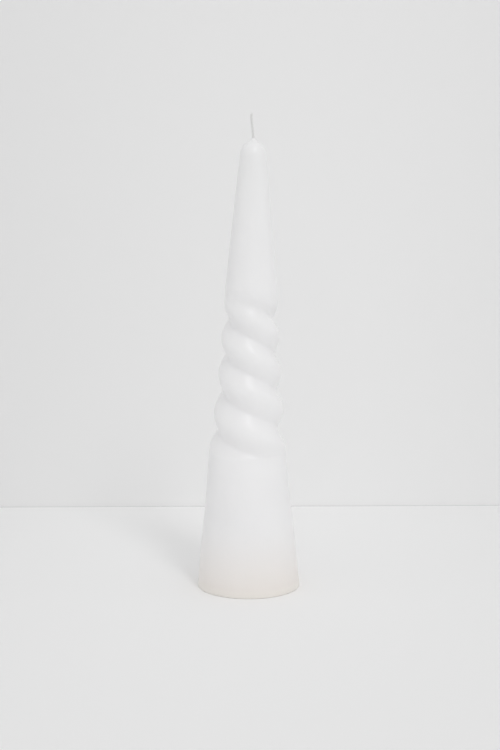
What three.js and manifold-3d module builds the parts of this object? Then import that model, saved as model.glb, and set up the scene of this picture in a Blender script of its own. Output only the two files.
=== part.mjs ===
// A free-standing cone candle: a smooth tapering wax body whose middle is twisted into a two-strand rope,
// and the cotton wick that runs through it from the foot and stands out of the tip.
// Millimetres, +Z up. The origin is the middle of the flat foot, and the front of the candle faces -Y.

import * as THREE from "three";
import { mergeVertices } from "three/addons/utils/BufferGeometryUtils.js";
import Module from "manifold-3d";

// Heights above the surface that the candle stands on
const WAX_HEIGHT = 240;
const TWIST_BOTTOM = 73;
const TWIST_TOP = 161;
const DOME_HEIGHT = 8.2;

// Radii of the wax body
const FOOT_RADIUS = 27.8;
const TWIST_BOTTOM_RADIUS = 20.9;
const TWIST_TOP_RADIUS = 14.1;
const SHOULDER_RADIUS = 7.4;
const BELLY = 0.25; // how far the lower cone swells in its lower half and hollows in its upper half
const WAIST = 0.4; // how far the twist draws the wax in at its middle

// The twist
const TURNS = 2.235;
const TIGHTENING = 0.095; // the share by which it turns faster at its top, and slower at its bottom
const GROOVE_DEPTH = 3.5;
const GROOVE_DIRECTION = 111; // where the grooves start at the bottom of the twist, in degrees from +X
const GROOVE_TAIL = 11; // how far they run on, straight, below the twist while they fade out
const RUN_OUT_BOTTOM = 7; // height above the bottom of the twist at which they reach their full depth
const RUN_OUT_TOP = 14; // height over which they fade into the upper cone
const CREASE = 0.2; // how blunt the crease between the strands is: 0 is sharp, and 1 has no groove left
const CREASE_AT_ENDS = 0.4; // the same where the grooves fade out

// How far the hand-made candle's axis wanders sideways, along X
const LEAN_TWIST_BOTTOM = -0.7;
const LEAN_TWIST_MIDDLE = 0.75;
const LEAN_TWIST_TOP = 1.4;
const LEAN_TIP = 2.4;

// The foot
const FOOT_EDGE_ROUND = 0.4;
const FOOT_DISH_RADIUS = 9;
const FOOT_DISH_DEPTH = 0.8;

// The collar of wax that clings to the wick at the tip
const COLLAR_HEIGHT = 1.6;
const COLLAR_FOOT_WALL = 0.9;
const COLLAR_TOP_WALL = 0.4;

// The wick
const WICK_RADIUS = 0.8;
const WICK_CLEARANCE = 0.3;
const WICK_TAIL = 13.8; // the length that stands out of the wax
const WICK_TAIL_SWAY = 0.9; // how far the tail leans to -X before it straightens up
const WICK_FOOT_GAP = 0.4; // from the standing surface to the wick's lower cut end

// Fineness of the faceted surfaces
const COLUMNS = 48;
const TWIST_LEVELS = 72;
const GROOVE_TAIL_LEVELS = 8;
const CONE_LEVELS = 8;
const DOME_LEVELS = 7;
const EDGE_LEVELS = 3;
const WICK_SIDES = 12;
const WICK_LEVELS = 24;
const TAIL_LEVELS = 12;

const { lerp, mapLinear, smoothstep, degToRad } = THREE.MathUtils;

const SHOULDER = WAX_HEIGHT - COLLAR_HEIGHT - DOME_HEIGHT;
const TWIST_MIDDLE = (TWIST_BOTTOM + TWIST_TOP) / 2;
const CHANNEL_RADIUS = WICK_RADIUS + WICK_CLEARANCE;

const wasm = await Module();
wasm.setup();

// The axis: straight up, but for the sideways wander between its named stations.
function axisAt(z) {
  const stations = [
    [0, 0],
    [TWIST_BOTTOM, LEAN_TWIST_BOTTOM],
    [TWIST_MIDDLE, LEAN_TWIST_MIDDLE],
    [TWIST_TOP, LEAN_TWIST_TOP],
    [WAX_HEIGHT, LEAN_TIP],
  ];
  let x = 0;
  for (let i = 1; i < stations.length; i++) {
    const [below, from] = stations[i - 1];
    const [above, to] = stations[i];
    x += (to - from) * smoothstep(z, below, above);
  }
  return x;
}

// The cone's radius at its crests, from the foot to the shoulder.
function coneRadius(z) {
  if (z <= TWIST_BOTTOM) {
    const swell = BELLY * Math.sin((2 * Math.PI * z) / TWIST_BOTTOM);
    return mapLinear(z, 0, TWIST_BOTTOM, FOOT_RADIUS, TWIST_BOTTOM_RADIUS) + swell;
  }
  if (z >= TWIST_TOP) return mapLinear(z, TWIST_TOP, SHOULDER, TWIST_TOP_RADIUS, SHOULDER_RADIUS);
  const up = mapLinear(z, TWIST_BOTTOM, TWIST_TOP, 0, 1);
  return lerp(TWIST_BOTTOM_RADIUS, TWIST_TOP_RADIUS, up) - WAIST * Math.sin(Math.PI * up);
}

// The direction of the grooves: it winds clockwise going up, which makes a left-handed rope.
function grooveDirection(z) {
  const up = THREE.MathUtils.clamp(mapLinear(z, TWIST_BOTTOM, TWIST_TOP, 0, 1), 0, 1);
  const turns = TURNS * (up - TIGHTENING * up * (1 - up));
  return degToRad(GROOVE_DIRECTION) - 2 * Math.PI * turns;
}

// The share of their full depth that the grooves have at height z.
function grooveShare(z) {
  const rising = smoothstep(z, TWIST_BOTTOM - GROOVE_TAIL, TWIST_BOTTOM + RUN_OUT_BOTTOM);
  const fading = smoothstep(z, TWIST_TOP - RUN_OUT_TOP, TWIST_TOP);
  return rising * (1 - fading);
}

// The section is two overlapping circles, as two soft strands pressed together, with the crease between
// them rounded. crest is its radius at the middle of a strand, share is how much of their depth the
// grooves have there, and angle is measured from the grooves.
function strandRadius(crest, share, angle) {
  const crease = lerp(CREASE_AT_ENDS, CREASE, share);
  const valley = crest - GROOVE_DEPTH * share;
  const offset = (crest * crest - valley * valley) / (2 * (crest - valley * crease));
  const strand = crest - offset;
  const out = Math.hypot(crease, Math.sqrt(1 - crease * crease) * Math.sin(angle));
  return offset * out + Math.sqrt(strand * strand - offset * offset * (1 - out * out));
}

// A ring of points at height z, which starts at the direction start.
function ring(z, sides, start, radiusAt) {
  const points = [];
  for (let k = 0; k < sides; k++) {
    const angle = (2 * Math.PI * k) / sides;
    const radius = radiusAt(angle);
    const direction = start + angle;
    points.push(
      new THREE.Vector3(axisAt(z) + radius * Math.cos(direction), radius * Math.sin(direction), z),
    );
  }
  return points;
}

// A closed solid through rings of equal length, listed from the bottom up, with a fan over each end ring.
// Each four-sided patch is split along its shorter diagonal, so that the facets follow the twist.
function loft(rings) {
  const sides = rings[0].length;
  const points = rings.flat();
  const faces = [];
  for (let i = 0; i + 1 < rings.length; i++) {
    for (let k = 0; k < sides; k++) {
      const next = (k + 1) % sides;
      const a = i * sides + k;
      const b = i * sides + next;
      const c = (i + 1) * sides + next;
      const d = (i + 1) * sides + k;
      if (points[a].distanceTo(points[c]) < points[b].distanceTo(points[d])) {
        faces.push(a, b, c, a, c, d);
      } else {
        faces.push(a, b, d, b, c, d);
      }
    }
  }
  const last = rings.length - 1;
  for (const [level, up] of [[0, false], [last, true]]) {
    const middle = new THREE.Vector3();
    for (const point of rings[level]) middle.addScaledVector(point, 1 / sides);
    points.push(middle);
    for (let k = 0; k < sides; k++) {
      const a = level * sides + k;
      const b = level * sides + ((k + 1) % sides);
      faces.push(points.length - 1, up ? a : b, up ? b : a);
    }
  }
  return new THREE.BufferGeometry().setFromPoints(points).setIndex(faces);
}

function solidOf(geometry) {
  const merged = mergeVertices(geometry);
  return new wasm.Manifold(
    new wasm.Mesh({
      numProp: 3,
      vertProperties: new Float32Array(merged.attributes.position.array),
      triVerts: new Uint32Array(merged.index.array),
    }),
  );
}

function geometryOf(solid) {
  const mesh = solid.getMesh();
  const geometry = new THREE.BufferGeometry();
  geometry.setAttribute("position", new THREE.BufferAttribute(mesh.vertProperties, mesh.numProp));
  geometry.setIndex(new THREE.BufferAttribute(mesh.triVerts, 1));
  geometry.computeVertexNormals();
  return geometry;
}

// Evenly spaced heights from one height to another, without the first.
function steps(from, to, count) {
  return Array.from({ length: count }, (_, i) => lerp(from, to, (i + 1) / count));
}

// The outside of the wax: rounded foot edge, lower cone, rope, upper cone, dome and collar.
function waxOutside() {
  const rings = [];
  const plain = (z, radius) => rings.push(ring(z, COLUMNS, grooveDirection(z), () => radius));
  const tailEnd = TWIST_BOTTOM - GROOVE_TAIL;
  for (let i = 0; i <= EDGE_LEVELS; i++) {
    const turn = (Math.PI / 2) * (i / EDGE_LEVELS);
    const z = FOOT_EDGE_ROUND * (1 - Math.cos(turn));
    plain(z, coneRadius(z) - FOOT_EDGE_ROUND * (1 - Math.sin(turn)));
  }
  for (const z of steps(FOOT_EDGE_ROUND, tailEnd, CONE_LEVELS)) plain(z, coneRadius(z));
  const grooved = [
    ...steps(tailEnd, TWIST_BOTTOM, GROOVE_TAIL_LEVELS),
    ...steps(TWIST_BOTTOM, TWIST_TOP, TWIST_LEVELS),
  ];
  for (const z of grooved) {
    const crest = coneRadius(z);
    const share = grooveShare(z);
    rings.push(ring(z, COLUMNS, grooveDirection(z), (angle) => strandRadius(crest, share, angle)));
  }
  for (const z of steps(TWIST_TOP, SHOULDER, CONE_LEVELS)) plain(z, coneRadius(z));
  const domeTurn = Math.acos((CHANNEL_RADIUS + COLLAR_FOOT_WALL) / SHOULDER_RADIUS);
  for (const turn of steps(0, domeTurn, DOME_LEVELS)) {
    const rise = (DOME_HEIGHT * Math.sin(turn)) / Math.sin(domeTurn);
    plain(SHOULDER + rise, SHOULDER_RADIUS * Math.cos(turn));
  }
  plain(WAX_HEIGHT, CHANNEL_RADIUS + COLLAR_TOP_WALL);
  return loft(rings);
}

// The channel that the wick fills, a clearance wider than the wick and open at both ends.
function wickChannel() {
  const margin = 1;
  const heights = [-margin, 0, ...steps(0, WAX_HEIGHT, WICK_LEVELS), WAX_HEIGHT + margin];
  return loft(heights.map((z) => ring(z, WICK_SIDES, 0, () => CHANNEL_RADIUS)));
}

// The shallow dish under the foot, which keeps the trimmed wick off the standing surface.
function footDish() {
  const margin = 1;
  const slope = (FOOT_DISH_RADIUS - WICK_RADIUS) / FOOT_DISH_DEPTH;
  const rings = [
    ring(-margin, COLUMNS, 0, () => FOOT_DISH_RADIUS + margin * slope),
    ring(FOOT_DISH_DEPTH, COLUMNS, 0, () => WICK_RADIUS),
  ];
  return loft(rings);
}

function waxBody() {
  return geometryOf(
    solidOf(waxOutside()).subtract(solidOf(wickChannel())).subtract(solidOf(footDish())),
  );
}

// The wick: up the channel, then free, leaning to -X and straightening towards its cut end.
function wick() {
  const plain = () => WICK_RADIUS;
  const rings = [ring(WICK_FOOT_GAP, WICK_SIDES, 0, plain)];
  for (const z of steps(0, WAX_HEIGHT, WICK_LEVELS)) rings.push(ring(z, WICK_SIDES, 0, plain));
  for (const up of steps(0, 1, TAIL_LEVELS)) {
    const level = ring(WAX_HEIGHT + WICK_TAIL * up, WICK_SIDES, 0, plain);
    const sway = WICK_TAIL_SWAY * Math.sin((up * Math.PI * 3) / 5) ** 2;
    for (const point of level) point.x -= sway;
    rings.push(level);
  }
  return loft(rings);
}

function named(name, geometry, material) {
  const mesh = new THREE.Mesh(geometry, material);
  mesh.name = name;
  return mesh;
}

const wax = new THREE.MeshStandardMaterial({ color: 0xe9e7e5, roughness: 0.45, metalness: 0 });
const cotton = new THREE.MeshStandardMaterial({ color: 0xd8d5cf, roughness: 0.9, metalness: 0 });

const candle = new THREE.Group();
candle.add(named("wax_body", waxBody(), wax));
candle.add(named("wick", wick(), cotton));

export default candle;
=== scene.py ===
"""A twisted cone candle of pale wax and its braided cotton wick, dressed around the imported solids.

Metres, +Z up. The candle's front faces -Y, and the middle of its foot is the origin.
"""

import math

import bpy
import numpy as np
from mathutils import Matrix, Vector, noise


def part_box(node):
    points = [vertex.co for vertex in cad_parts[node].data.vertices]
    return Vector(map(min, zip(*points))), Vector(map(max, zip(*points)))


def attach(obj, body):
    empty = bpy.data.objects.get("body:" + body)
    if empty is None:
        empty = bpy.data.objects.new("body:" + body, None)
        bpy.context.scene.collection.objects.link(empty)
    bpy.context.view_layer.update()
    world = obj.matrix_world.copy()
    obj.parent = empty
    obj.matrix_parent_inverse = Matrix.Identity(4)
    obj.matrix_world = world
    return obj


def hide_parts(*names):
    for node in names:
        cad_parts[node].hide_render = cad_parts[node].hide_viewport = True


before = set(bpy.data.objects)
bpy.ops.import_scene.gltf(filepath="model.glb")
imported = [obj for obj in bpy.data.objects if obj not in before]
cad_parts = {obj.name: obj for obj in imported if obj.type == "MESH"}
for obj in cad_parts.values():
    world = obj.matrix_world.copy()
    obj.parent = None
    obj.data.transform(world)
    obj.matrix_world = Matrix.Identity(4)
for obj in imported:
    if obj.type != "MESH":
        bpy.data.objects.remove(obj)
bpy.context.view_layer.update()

MM = 0.001
WAX_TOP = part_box("wax_body")[1].z
WICK_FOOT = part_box("wick")[0].z
WICK_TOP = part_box("wick")[1].z

# The wax body's form, which is the solid's apart from a sharper edge round the foot
TWIST_BOTTOM = 73 * MM
TWIST_TOP = 161 * MM
DOME_HEIGHT = 8.2 * MM
FOOT_RADIUS = 27.8 * MM
TWIST_BOTTOM_RADIUS = 20.9 * MM
TWIST_TOP_RADIUS = 14.1 * MM
SHOULDER_RADIUS = 7.4 * MM
BELLY = 0.25 * MM
WAIST = 0.4 * MM
TURNS = 2.235
TIGHTENING = 0.095
GROOVE_DEPTH = 3.5 * MM
CREASE = 0.2
CREASE_AT_END = 0.4
GROOVE_DIRECTION = math.radians(111)
TAIL_BELOW_TWIST = 11 * MM
RUN_OUT_BOTTOM = 7 * MM
RUN_OUT_TOP = 14 * MM
LEAN_TWIST_BOTTOM = -0.7 * MM
LEAN_TWIST_MIDDLE = 0.75 * MM
LEAN_TWIST_TOP = 1.4 * MM
LEAN_TIP = 2.4 * MM
FOOT_EDGE_ROUND = 0.2 * MM
FOOT_DISH_RADIUS = 9 * MM
FOOT_DISH_DEPTH = 0.8 * MM
COLLAR_HEIGHT = 1.6 * MM
COLLAR_FOOT_RADIUS = 2.0 * MM
COLLAR_TOP_RADIUS = 1.0 * MM
CHANNEL_RADIUS = 0.62 * MM
SHOULDER = WAX_TOP - COLLAR_HEIGHT - DOME_HEIGHT
TWIST_MIDDLE = (TWIST_BOTTOM + TWIST_TOP) / 2

# The lumps of wax that was bent warm, and the room that the surface leaves for them
LUMP_ROOM = 0.2 * MM
BROAD_LUMP_SIZE = 26 * MM
BROAD_LUMP_HEIGHT = 0.22 * MM
SMALL_LUMP_SIZE = 9 * MM
SMALL_LUMP_HEIGHT = 0.06 * MM
SMALL_LUMP_SHIFT = Vector((7, 3, 5))
LUMPS_FULL_AT = 8 * MM

# Fineness of the wax surface
COLUMNS = 192
FOOT_STEP = 3 * MM
CONE_STEP = 1.0 * MM
TWIST_STEP = 0.45 * MM
DISH_ROWS = 12
FOOT_EDGE_ROWS = 8
DOME_ROWS = 24
COLLAR_ROWS = 8
CHANNEL_COLUMNS = 24
CHANNEL_ROWS = 40


def smooth(z, below, above):
    """Rises from 0 to 1 between two heights, and levels out at both."""
    up = np.clip((z - below) / (above - below), 0, 1)
    return up * up * (3 - 2 * up)


def round_angles(count):
    """Even angles round a circle."""
    return np.linspace(0, 2 * np.pi, count, endpoint=False)


def axis_at(z):
    """How far the candle's middle line wanders towards +X at height z."""
    stations = (
        (0, 0),
        (TWIST_BOTTOM, LEAN_TWIST_BOTTOM),
        (TWIST_MIDDLE, LEAN_TWIST_MIDDLE),
        (TWIST_TOP, LEAN_TWIST_TOP),
        (WAX_TOP, LEAN_TIP),
    )
    x = 0
    for (below, start), (above, end) in zip(stations, stations[1:]):
        x = x + (end - start) * smooth(z, below, above)
    return x


def cone_radius(z):
    """The cone's radius: it swells low down, thins below the twist, and has a slight waist in the twist."""
    up = np.clip((z - TWIST_BOTTOM) / (TWIST_TOP - TWIST_BOTTOM), 0, 1)
    waist = WAIST * np.sin(np.pi * up)
    belly = BELLY * np.sin(2 * np.pi * np.clip(z / TWIST_BOTTOM, 0, 1))
    heights = (0, TWIST_BOTTOM, TWIST_TOP, SHOULDER)
    radii = (FOOT_RADIUS, TWIST_BOTTOM_RADIUS, TWIST_TOP_RADIUS, SHOULDER_RADIUS)
    return np.interp(z, heights, radii) + belly - waist


def groove_direction(z):
    """The grooves wind clockwise going up, which makes a left-handed rope."""
    up = np.clip((z - TWIST_BOTTOM) / (TWIST_TOP - TWIST_BOTTOM), 0, 1)
    return GROOVE_DIRECTION - 2 * np.pi * TURNS * (up - TIGHTENING * up * (1 - up))


def groove_share(z):
    """How much of its depth the groove has at height z."""
    rising = smooth(z, TWIST_BOTTOM - TAIL_BELOW_TWIST, TWIST_BOTTOM + RUN_OUT_BOTTOM)
    fading = smooth(z, TWIST_TOP - RUN_OUT_TOP, TWIST_TOP)
    return rising * (1 - fading)


def strand_radius(crest, share, angle):
    """The section of two overlapping circles, at an angle measured from the grooves.

    The crease between them is rounded, and more so where the groove is shallow.
    """
    crease = CREASE + (CREASE_AT_END - CREASE) * (1 - share)
    valley = crest - GROOVE_DEPTH * share
    offset = (crest**2 - valley**2) / (2 * (crest - valley * crease))
    strand = crest - offset
    out = np.sqrt(crease**2 + (1 - crease**2) * np.sin(angle) ** 2)
    return offset * out + np.sqrt(strand**2 - offset**2 * (1 - out**2))


def steps(start, end, step):
    """Even values from start to end, without the first."""
    count = max(1, round(abs(end - start) / step))
    return np.linspace(start, end, count + 1)[1:]


def foot_profile():
    """Heights and radii from the dish under the foot to its outer edge."""
    profile = []
    for share in np.linspace(0, 1, DISH_ROWS + 1):
        radius = CHANNEL_RADIUS + (FOOT_DISH_RADIUS - CHANNEL_RADIUS) * share
        profile.append((FOOT_DISH_DEPTH * (1 + math.cos(math.pi * share)) / 2, radius))
    for radius in steps(FOOT_DISH_RADIUS, FOOT_RADIUS - FOOT_EDGE_ROUND, FOOT_STEP):
        profile.append((0, radius))
    for turn in np.linspace(0, math.pi / 2, FOOT_EDGE_ROWS + 1)[1:]:
        z = FOOT_EDGE_ROUND * (1 - math.cos(turn))
        profile.append((z, cone_radius(z) - FOOT_EDGE_ROUND * (1 - math.sin(turn))))
    return profile


def cone_profile():
    """Heights and crest radii of the cone, from the foot's edge to the dome's shoulder."""
    profile = []
    for start, end, step in (
        (FOOT_EDGE_ROUND, TWIST_BOTTOM, CONE_STEP),
        (TWIST_BOTTOM, TWIST_TOP, TWIST_STEP),
        (TWIST_TOP, SHOULDER, CONE_STEP),
    ):
        for z in steps(start, end, step):
            profile.append((z, cone_radius(z)))
    return profile


def tip_profile():
    """Heights and radii of the dome, the collar on it and the lip round the wick."""
    profile = []
    dome_turn = math.acos(COLLAR_FOOT_RADIUS / SHOULDER_RADIUS)
    for turn in np.linspace(0, dome_turn, DOME_ROWS + 1)[1:]:
        rise = DOME_HEIGHT * math.sin(turn) / math.sin(dome_turn)
        profile.append((SHOULDER + rise, SHOULDER_RADIUS * math.cos(turn)))
    for share in np.linspace(0, 1, COLLAR_ROWS + 1)[1:]:
        fall = (COLLAR_FOOT_RADIUS - COLLAR_TOP_RADIUS) * (1 - share) ** 2
        profile.append((SHOULDER + DOME_HEIGHT + COLLAR_HEIGHT * share, COLLAR_TOP_RADIUS + fall))
    profile.append((WAX_TOP, CHANNEL_RADIUS))
    return profile


def ring_points(z, start, radius):
    """Points round the axis: a row for each height and starting direction, from a grid of radii."""
    direction = start[:, None] + round_angles(radius.shape[1])
    x = axis_at(z)[:, None] + radius * np.cos(direction)
    y = radius * np.sin(direction)
    return np.stack([x, y, np.broadcast_to(z[:, None], x.shape)], axis=-1)


def wax_lumps(points):
    """The slight unevenness of the wax: up to a few tenths of a millimetre, in or out."""
    lump = np.empty(points.shape[:2])
    for i, row in enumerate(points):
        for k, point in enumerate(row):
            place = Vector(point)
            broad = noise.noise(place / BROAD_LUMP_SIZE)
            small = noise.noise(place / SMALL_LUMP_SIZE + SMALL_LUMP_SHIFT)
            lump[i, k] = BROAD_LUMP_HEIGHT * broad + SMALL_LUMP_HEIGHT * small
    return lump


def add_lumps(points, z, crest):
    """Moves the points towards the axis by the room for lumps, and in or out by the lumps.

    The collar and the lip stay as they are, and the dome eases over from them.
    """
    lumps = wax_lumps(points) * smooth(z, 0, LUMPS_FULL_AT)[:, None]
    push = (lumps - LUMP_ROOM) * smooth(crest, COLLAR_FOOT_RADIUS, SHOULDER_RADIUS)[:, None]
    centre = np.stack([axis_at(z), np.zeros_like(z)], axis=-1)[:, None, :]
    arm = points[:, :, :2] - centre
    length = np.linalg.norm(arm, axis=-1, keepdims=True)
    points[:, :, :2] += arm / length * push[:, :, None]


def mesh_object(name, vertices, faces):
    mesh = bpy.data.meshes.new(name)
    mesh.from_pydata([tuple(v) for v in vertices], [], faces)
    mesh.validate()
    mesh.shade_smooth()
    piece = bpy.data.objects.new(name, mesh)
    bpy.context.scene.collection.objects.link(piece)
    return piece


def quads_between(rows, columns, first=0):
    """Faces that join each row of points to the next."""
    faces = []
    for i in range(rows - 1):
        for k in range(columns):
            a = first + i * columns + k
            b = first + i * columns + (k + 1) % columns
            faces.append((a, b, b + columns, a + columns))
    return faces


def stitch(outer, inner, outwards):
    """Triangles that join a ring of many points to one of few, which start in the same direction."""
    share = len(outer) // len(inner)
    faces = []
    for j in range(len(outer)):
        faces.append((outer[j], outer[(j + 1) % len(outer)], inner[j // share]))
    for i in range(len(inner)):
        after = (i + 1) % len(inner)
        faces.append((outer[after * share], inner[after], inner[i]))
    return faces if outwards else [face[::-1] for face in faces]


def wick_channel(first_direction, last_direction):
    """Rows of points from just above the dish to just below the lip, turned as the rings at its ends are."""
    z = np.linspace(FOOT_DISH_DEPTH, WAX_TOP, CHANNEL_ROWS + 2)[1:-1]
    start = np.linspace(first_direction, last_direction, CHANNEL_ROWS + 2)[1:-1]
    return ring_points(z, start, np.full((CHANNEL_ROWS, CHANNEL_COLUMNS), CHANNEL_RADIUS))


def wax_body():
    """The outside and the wick's channel, stitched together under the foot and at the lip."""
    profile = np.array(foot_profile() + cone_profile() + tip_profile())
    z, crest = profile[:, 0], profile[:, 1]
    start = groove_direction(z)
    radius = strand_radius(crest[:, None], groove_share(z)[:, None], round_angles(COLUMNS))
    outside = ring_points(z, start, radius)
    add_lumps(outside, z, crest)
    channel = wick_channel(start[0], start[-1])
    first = len(z) * COLUMNS
    last = first + (CHANNEL_ROWS - 1) * CHANNEL_COLUMNS
    faces = quads_between(len(z), COLUMNS)
    faces += [face[::-1] for face in quads_between(CHANNEL_ROWS, CHANNEL_COLUMNS, first)]
    faces += stitch(range(COLUMNS), range(first, first + CHANNEL_COLUMNS), False)
    faces += stitch(range(first - COLUMNS, first), range(last, last + CHANNEL_COLUMNS), True)
    vertices = np.concatenate([outside.reshape(-1, 3), channel.reshape(-1, 3)])
    return mesh_object("candle_wax", vertices, faces)


# The wick's route above the wax: it sways to -X and a little way back
WICK_TAIL = WICK_TOP - WAX_TOP
WICK_TAIL_SWAY = 0.9 * MM
WICK_TAIL_TURN = 3 / 5

# The braid, made of strands of yarns, and the plain core that fills the wick inside the wax
STRANDS = 3
BRAID_PITCH = 4.6 * MM
BRAID_HALF_WIDTH = 0.36 * MM
BRAID_HALF_DEPTH = 0.2 * MM
BRAID_IN_WAX = 5 * MM
BRAID_STEP = 0.12 * MM
YARNS = 5
YARN_RADIUS = 0.15 * MM
YARN_SPREAD = 0.2 * MM
YARN_PITCH = 2.6 * MM
YARN_SIDES = 6
YARN_ENDS = 2.2 * MM
YARN_SEED = 5
CORE_RADIUS = 0.5 * MM
CORE_RISE = 1 * MM
CORE_ROWS = 60
CORE_SIDES = 12


def wick_line(z):
    """X of the wick's middle at height z: the candle's own line, then the swaying tail."""
    up = np.clip((z - WAX_TOP) / WICK_TAIL, 0, 1)
    return axis_at(z) - WICK_TAIL_SWAY * np.sin(up * math.pi * WICK_TAIL_TURN) ** 2


def yarn_path(z, strand, yarn):
    """One yarn's middle line, wound in its strand, which goes round the flat eight of the plait."""
    turn = 2 * np.pi * (z / BRAID_PITCH + strand / STRANDS)
    lay = 2 * np.pi * (z / YARN_PITCH + yarn / YARNS)
    x = wick_line(z) + BRAID_HALF_WIDTH * np.cos(turn) + YARN_SPREAD * np.cos(lay)
    y = BRAID_HALF_DEPTH * np.sin(2 * turn) + YARN_SPREAD * np.sin(lay)
    return np.stack([x, y, z], axis=-1)


def yarn_paths():
    """The yarns of a short braid at the foot, and of the braid at the top, where they end unevenly."""
    noise.seed_set(YARN_SEED)
    paths = []
    for low, high in ((WICK_FOOT, WICK_FOOT + BRAID_IN_WAX), (WAX_TOP - BRAID_IN_WAX, WICK_TOP)):
        for strand in range(STRANDS):
            for yarn in range(YARNS):
                short = YARN_ENDS * math.sqrt(noise.random()) if high > WAX_TOP else 0
                z = np.arange(low, high - short, BRAID_STEP)
                paths.append(yarn_path(z, strand, yarn))
    return paths


def tube(path, radius, sides, first):
    """A closed tube whose rings lie level along an upright path."""
    angle = round_angles(sides)
    ring = radius * np.stack([np.cos(angle), np.sin(angle), np.zeros(sides)], axis=-1)
    points = path[:, None, :] + ring
    vertices = [*points.reshape(-1, 3), path[0], path[-1]]
    faces = quads_between(len(path), sides, first)
    bottom, top = first + len(path) * sides, first + len(path) * sides + 1
    last = first + (len(path) - 1) * sides
    for k in range(sides):
        after = (k + 1) % sides
        faces.append((bottom, first + after, first + k))
        faces.append((top, last + k, last + after))
    return vertices, faces


def wick():
    """All the yarns and the core, as closed tubes in one mesh."""
    tubes = [(path, YARN_RADIUS, YARN_SIDES) for path in yarn_paths()]
    z = np.linspace(WICK_FOOT + CORE_RISE, WAX_TOP + CORE_RISE, CORE_ROWS)
    core_path = np.stack([wick_line(z), np.zeros_like(z), z], axis=-1)
    tubes.append((core_path, CORE_RADIUS, CORE_SIDES))
    vertices, faces = [], []
    for path, radius, sides in tubes:
        tube_vertices, tube_faces = tube(path, radius, sides, len(vertices))
        vertices += tube_vertices
        faces += tube_faces
    return mesh_object("candle_wick", vertices, faces)


# Where a mix node has its sockets for colours
MIX_FIRST, MIX_SECOND, MIX_RESULT = 6, 7, 2


class Nodes:
    """A material's node tree, with short calls for the few kinds of node that are used here.

    Each value that a call takes is a number, a colour, a vector or another node's output.
    """

    def __init__(self, name):
        self.material = bpy.data.materials.new(name)
        self.material.use_nodes = True
        self.tree = self.material.node_tree
        self.shader = self.tree.nodes["Principled BSDF"]

    def add(self, kind, **values):
        node = self.tree.nodes.new(kind)
        for name, value in values.items():
            setattr(node, name, value)
        return node

    def feed(self, socket, value):
        if isinstance(value, bpy.types.NodeSocket):
            self.tree.links.new(value, socket)
        elif socket.type == "RGBA":
            socket.default_value = (*value, 1)
        else:
            socket.default_value = value

    def look(self, **values):
        """Feeds the shader's sockets, whose names have an underscore here for each space."""
        for name, value in values.items():
            self.feed(self.shader.inputs[name.replace("_", " ")], value)

    def place(self):
        return self.add("ShaderNodeTexCoord").outputs["Object"]

    def height(self, place):
        node = self.add("ShaderNodeSeparateXYZ")
        self.feed(node.inputs[0], place)
        return node.outputs["Z"]

    def noise(self, place, per_metre, detail):
        node = self.add("ShaderNodeTexNoise")
        for name, value in (("Vector", place), ("Scale", per_metre), ("Detail", detail)):
            self.feed(node.inputs[name], value)
        return node.outputs["Fac"]

    def ranged(self, value, start, end, at_start=0, at_end=1, kind="LINEAR"):
        """Goes from at_start to at_end as the value goes from start to end."""
        node = self.add("ShaderNodeMapRange", interpolation_type=kind)
        self.feed(node.inputs["Value"], value)
        for name, number in (
            ("From Min", start),
            ("From Max", end),
            ("To Min", at_start),
            ("To Max", at_end),
        ):
            node.inputs[name].default_value = number
        return node.outputs["Result"]

    def maths(self, operation, *values):
        node = self.add("ShaderNodeMath", operation=operation)
        for socket, value in zip(node.inputs, values):
            self.feed(socket, value)
        return node.outputs[0]

    def vector_maths(self, operation, *values):
        node = self.add("ShaderNodeVectorMath", operation=operation)
        for socket, value in zip(node.inputs, values):
            self.feed(socket, value)
        return node.outputs

    def mix(self, share, first, second):
        """Goes from the first colour to the second as the share goes from 0 to 1."""
        node = self.add("ShaderNodeMix", data_type="RGBA")
        self.feed(node.inputs[0], share)
        self.feed(node.inputs[MIX_FIRST], first)
        self.feed(node.inputs[MIX_SECOND], second)
        return node.outputs[MIX_RESULT]

    def bump(self, value, strength, distance, under=None):
        """A normal roughened by the value, on top of another bump where one is given."""
        node = self.add("ShaderNodeBump")
        for name, given in (("Height", value), ("Strength", strength), ("Distance", distance)):
            self.feed(node.inputs[name], given)
        if under is not None:
            self.feed(node.inputs["Normal"], under)
        return node.outputs["Normal"]


# Noises: how many features they have per metre, and their detail
MOTTLE = (45, 3)
GLOSS_PATCHES = (120, 4)
DENTS = (260, 3)
GRAIN = (2400, 2)
COTTON_FIBRES = (1800, 3)
COTTON_FLUFF = (6000, 2)

# The part of a noise's range that a look uses
NOISE_SPAN = (0.3, 0.7)
MOTTLE_SPAN = (0.35, 0.7)

# The wax's colours, and the heights between which the tints set in; the rim's and the tip's paler colours
# are painted light
CLEAN_WAX = (0.904, 0.90, 0.906)
MOTTLED_WAX = (0.889, 0.885, 0.891)
FOOT_TINT = (0.909, 0.836, 0.772)
# Painted light: paler wax at the foot's rim, against the shade where it meets the table
PAINTED_LIGHT_AT_RIM = (0.950, 0.912, 0.858)
# Painted light: paler wax over the upper cone and the dome
PAINTED_LIGHT_AT_TIP = (0.924, 0.924, 0.928)
FOOT_TINT_HEIGHTS = (40 * MM, -20 * MM)
PAINTED_RIM_LIGHT_HEIGHTS = (4.5 * MM, 0)
PAINTED_TIP_LIGHT_HEIGHTS = (WAX_TOP - 60 * MM, WAX_TOP - 14 * MM)

# The wax's gloss and bumps, which vary less and less towards the smooth tip
SMOOTH_TIP_HEIGHTS = (WAX_TOP - 16 * MM, WAX_TOP - 9 * MM)
ROUGHNESS_AT_TIP = 0.28
ROUGHNESS_OF_PATCHES = (0.035, 0.085)
DENT_STRENGTH = 0.25
DENT_DEPTH = 0.2 * MM
GRAIN_STRENGTH = 0.12
GRAIN_DEPTH = 0.04 * MM
WAX_IOR = 1.44

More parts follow.
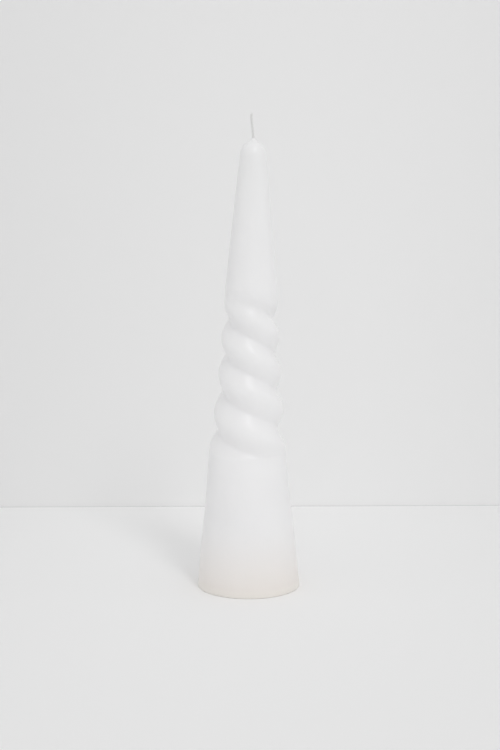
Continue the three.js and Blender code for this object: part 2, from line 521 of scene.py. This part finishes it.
# How light spreads in the wax: fully in the cone, less in the foot, and not at the lip
GLOW_REACH = 18 * MM
GLOW_BY_COLOUR = (1, 1, 1)
GLOW_AT_FOOT = 0.2
GLOW_FOOT_HEIGHTS = (2 * MM, 50 * MM)
GLOW_LIP_HEIGHTS = (WAX_TOP - 16 * MM, WAX_TOP - 1.5 * MM)


def wax_colour(nodes, place, height):
    """Slightly mottled, warmer and duller towards the foot, with painted light that makes the foot's rim
    paler and the tip palest.
    """
    mottled = nodes.ranged(nodes.noise(place, *MOTTLE), *MOTTLE_SPAN)
    low = nodes.ranged(height, *FOOT_TINT_HEIGHTS, kind="SMOOTHSTEP")
    # Painted light on the foot's rim
    painted_rim_light = nodes.ranged(height, *PAINTED_RIM_LIGHT_HEIGHTS)
    # Painted light over the upper cone and the tip
    painted_tip_light = nodes.ranged(height, *PAINTED_TIP_LIGHT_HEIGHTS)
    colour = nodes.mix(mottled, CLEAN_WAX, MOTTLED_WAX)
    colour = nodes.mix(low, colour, FOOT_TINT)
    colour = nodes.mix(painted_rim_light, colour, PAINTED_LIGHT_AT_RIM)
    return nodes.mix(painted_tip_light, colour, PAINTED_LIGHT_AT_TIP)


def wax_bumps(nodes, place, below_tip):
    """Soft dents with a fine grain on them."""
    dent_strength = nodes.maths("MULTIPLY", below_tip, DENT_STRENGTH)
    dents = nodes.bump(nodes.noise(place, *DENTS), dent_strength, DENT_DEPTH)
    grain_strength = nodes.maths("MULTIPLY", below_tip, GRAIN_STRENGTH)
    return nodes.bump(nodes.noise(place, *GRAIN), grain_strength, GRAIN_DEPTH, dents)


def wax_material():
    nodes = Nodes("wax")
    place = nodes.place()
    height = nodes.height(place)
    below_tip = nodes.ranged(height, *SMOOTH_TIP_HEIGHTS, 1, 0)
    patches = nodes.ranged(nodes.noise(place, *GLOSS_PATCHES), *NOISE_SPAN, *ROUGHNESS_OF_PATCHES)
    over_foot = nodes.ranged(height, *GLOW_FOOT_HEIGHTS, GLOW_AT_FOOT, 1)
    under_lip = nodes.ranged(height, *GLOW_LIP_HEIGHTS, 1, 0)
    nodes.look(
        Base_Color=wax_colour(nodes, place, height),
        Roughness=nodes.maths("MULTIPLY_ADD", patches, below_tip, ROUGHNESS_AT_TIP),
        Normal=wax_bumps(nodes, place, below_tip),
        IOR=WAX_IOR,
        Subsurface_Weight=nodes.maths("MULTIPLY", over_foot, under_lip),
        Subsurface_Scale=GLOW_REACH,
        Subsurface_Radius=GLOW_BY_COLOUR,
    )
    return nodes.material


# The cotton's looks: a pale cotton and a darker copy of it, mixed over the fibres as painted shade
PALE_COTTON = (0.86, 0.86, 0.855)
# Painted shade: the darker copy of the cotton
COTTON_IN_PAINTED_SHADE = (0.79, 0.79, 0.785)
COTTON_ROUGHNESS = 0.75
FLUFF_STRENGTH = 0.5
FLUFF_DEPTH = 0.03 * MM


def cotton_material():
    nodes = Nodes("waxed_cotton")
    place = nodes.place()
    # Painted shade: patches of the darker copy over the fibres
    painted_fibre_shade = nodes.ranged(nodes.noise(place, *COTTON_FIBRES), *NOISE_SPAN)
    nodes.look(
        Base_Color=nodes.mix(painted_fibre_shade, PALE_COTTON, COTTON_IN_PAINTED_SHADE),
        Roughness=COTTON_ROUGHNESS,
        Normal=nodes.bump(nodes.noise(place, *COTTON_FLUFF), FLUFF_STRENGTH, FLUFF_DEPTH),
    )
    return nodes.material


# The set: a pale table top that meets an upright, slightly turned wall behind the candle.
# The table top stops just short of the wall, and a darker sheet under the gap is painted shade that shows as
# the line of the join.
WALL_BEHIND = 193 * MM
WALL_HEIGHT = 1.5
WALL_SLANT = math.radians(0.9)
SET_WIDTH = 6.0
TABLE_TOP = -0.1 * MM
JOIN_GAP = 0.7 * MM

# The set's greys, with painted light: each sheet is palest near one point and darker further out, measured
# in space squeezed by the shape given below
TABLE_GREY = 0.947
# Painted shade: the dark grey of the sheet under the gap at the join
PAINTED_JOIN_SHADE_GREY = 0.66
WALL_GREY = 0.917
PAINTED_LIGHT_ON_TABLE = (-0.01, 0.05, 0)
PAINTED_LIGHT_ON_WALL = (0.03, 0.045, 0.045)
PAINTED_LIGHT_SHAPE = (1, 0.42, 0.45)
PAINTED_LIGHT_REACH = 0.06
PAINTED_FALLOFF_REACH = 0.42
PAINTED_FALLOFF_SHARE = 0.855
SHEET_ROUGHNESS = 0.7


def sheet_nodes(name, grey, painted_light_at):
    """A matt grey with painted light: palest behind or round the candle and darker further out."""
    nodes = Nodes(name)
    squeezed = nodes.vector_maths("MULTIPLY", nodes.place(), PAINTED_LIGHT_SHAPE)["Vector"]
    reach = nodes.vector_maths("DISTANCE", squeezed, painted_light_at)["Value"]
    # Painted light: the grey darkens with distance from the palest point
    painted_falloff = nodes.ranged(reach, PAINTED_LIGHT_REACH, PAINTED_FALLOFF_REACH)
    colour = nodes.mix(painted_falloff, (grey,) * 3, (grey * PAINTED_FALLOFF_SHARE,) * 3)
    nodes.look(Base_Color=colour, Roughness=SHEET_ROUGHNESS)
    return nodes


def clear_from_behind(nodes):
    """Lets light and the camera through the sheet from behind."""
    mix = nodes.add("ShaderNodeMixShader")
    nodes.feed(mix.inputs[0], nodes.add("ShaderNodeNewGeometry").outputs["Backfacing"])
    nodes.feed(mix.inputs[1], nodes.shader.outputs[0])
    nodes.feed(mix.inputs[2], nodes.add("ShaderNodeBsdfTransparent").outputs[0])
    nodes.feed(nodes.tree.nodes["Material Output"].inputs["Surface"], mix.outputs[0])


def sheet(name, near, far, nodes):
    """A sheet as wide as the set, from its near edge to its far one.

    Each edge is given by Y at its left end, Y at its right end, and its height.
    """
    half = SET_WIDTH / 2
    near_left, near_right, near_height = near
    far_left, far_right, far_height = far
    corners = [
        (-half, near_left, near_height),
        (half, near_right, near_height),
        (half, far_right, far_height),
        (-half, far_left, far_height),
    ]
    piece = mesh_object(name, corners, [(0, 1, 2, 3)])
    piece.data.materials.append(nodes.material)


def backdrop():
    half = SET_WIDTH / 2
    slant = half * math.tan(WALL_SLANT)
    left, right = WALL_BEHIND - slant, WALL_BEHIND + slant
    end = (left - JOIN_GAP, right - JOIN_GAP)
    top = sheet_nodes("table", TABLE_GREY, PAINTED_LIGHT_ON_TABLE)
    join_shade_look = sheet_nodes("painted_join_shade", PAINTED_JOIN_SHADE_GREY, PAINTED_LIGHT_ON_TABLE)
    wall = sheet_nodes("wall", WALL_GREY, PAINTED_LIGHT_ON_WALL)
    clear_from_behind(wall)
    sheet("table_top", (-half, -half, TABLE_TOP), (*end, TABLE_TOP), top)
    # Painted shade: a dark sheet that shows through the gap as the line of the join
    sheet("painted_join_shade", (*end, 0), (half, half, 0), join_shade_look)
    sheet("wall", (left, right, 0), (left, right, WALL_HEIGHT), wall)


# The photograph's view, with the lens and its sensor in millimetres
CAMERA_AT = (0.7 * MM, -665 * MM, 193.2 * MM)
CAMERA_DOWN = math.radians(6.7)
CAMERA_LENS = 60
CAMERA_SENSOR = 36
CAMERA_NEAR = 0.01


def camera():
    data = bpy.data.cameras.new("camera")
    data.lens = CAMERA_LENS
    data.sensor_width = CAMERA_SENSOR
    data.clip_start = CAMERA_NEAR
    piece = bpy.data.objects.new("camera", data)
    piece.location = CAMERA_AT
    piece.rotation_euler = (math.pi / 2 - CAMERA_DOWN, 0, 0)
    bpy.context.scene.collection.objects.link(piece)
    bpy.context.scene.camera = piece


# The light: an even pale room, and one soft lamp in front, to the right and above
WORLD_COLOUR = (1, 1, 1, 1)
WORLD_STRENGTH = 0.75
KEY_RIGHT = math.radians(25)
KEY_UP = math.radians(47)
KEY_DISTANCE = 4
KEY_SIZE = 0.9
KEY_WATTS = 24.5


def soft_room():
    world = bpy.data.worlds.new("soft_room")
    world.use_nodes = True
    background = world.node_tree.nodes["Background"]
    background.inputs["Color"].default_value = WORLD_COLOUR
    background.inputs["Strength"].default_value = WORLD_STRENGTH
    bpy.context.scene.world = world


def key_lamp():
    data = bpy.data.lights.new("key", "AREA")
    data.shape = "DISK"
    data.size = KEY_SIZE
    data.energy = KEY_WATTS
    target = Vector((0, 0, WAX_TOP / 2))
    level = KEY_DISTANCE * math.cos(KEY_UP)
    right, front = level * math.sin(KEY_RIGHT), level * math.cos(KEY_RIGHT)
    place = target + Vector((right, -front, KEY_DISTANCE * math.sin(KEY_UP)))
    piece = bpy.data.objects.new("key", data)
    piece.location = place
    piece.rotation_euler = (target - place).to_track_quat("-Z", "Y").to_euler()
    bpy.context.scene.collection.objects.link(piece)


camera()
soft_room()
key_lamp()
backdrop()

wax = wax_body()
wax.data.materials.append(wax_material())
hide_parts("wax_body")
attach(wax, "root")

braid = wick()
braid.data.materials.append(cotton_material())
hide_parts("wick")
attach(braid, "root")

bpy.context.scene.view_settings.view_transform = "Standard"
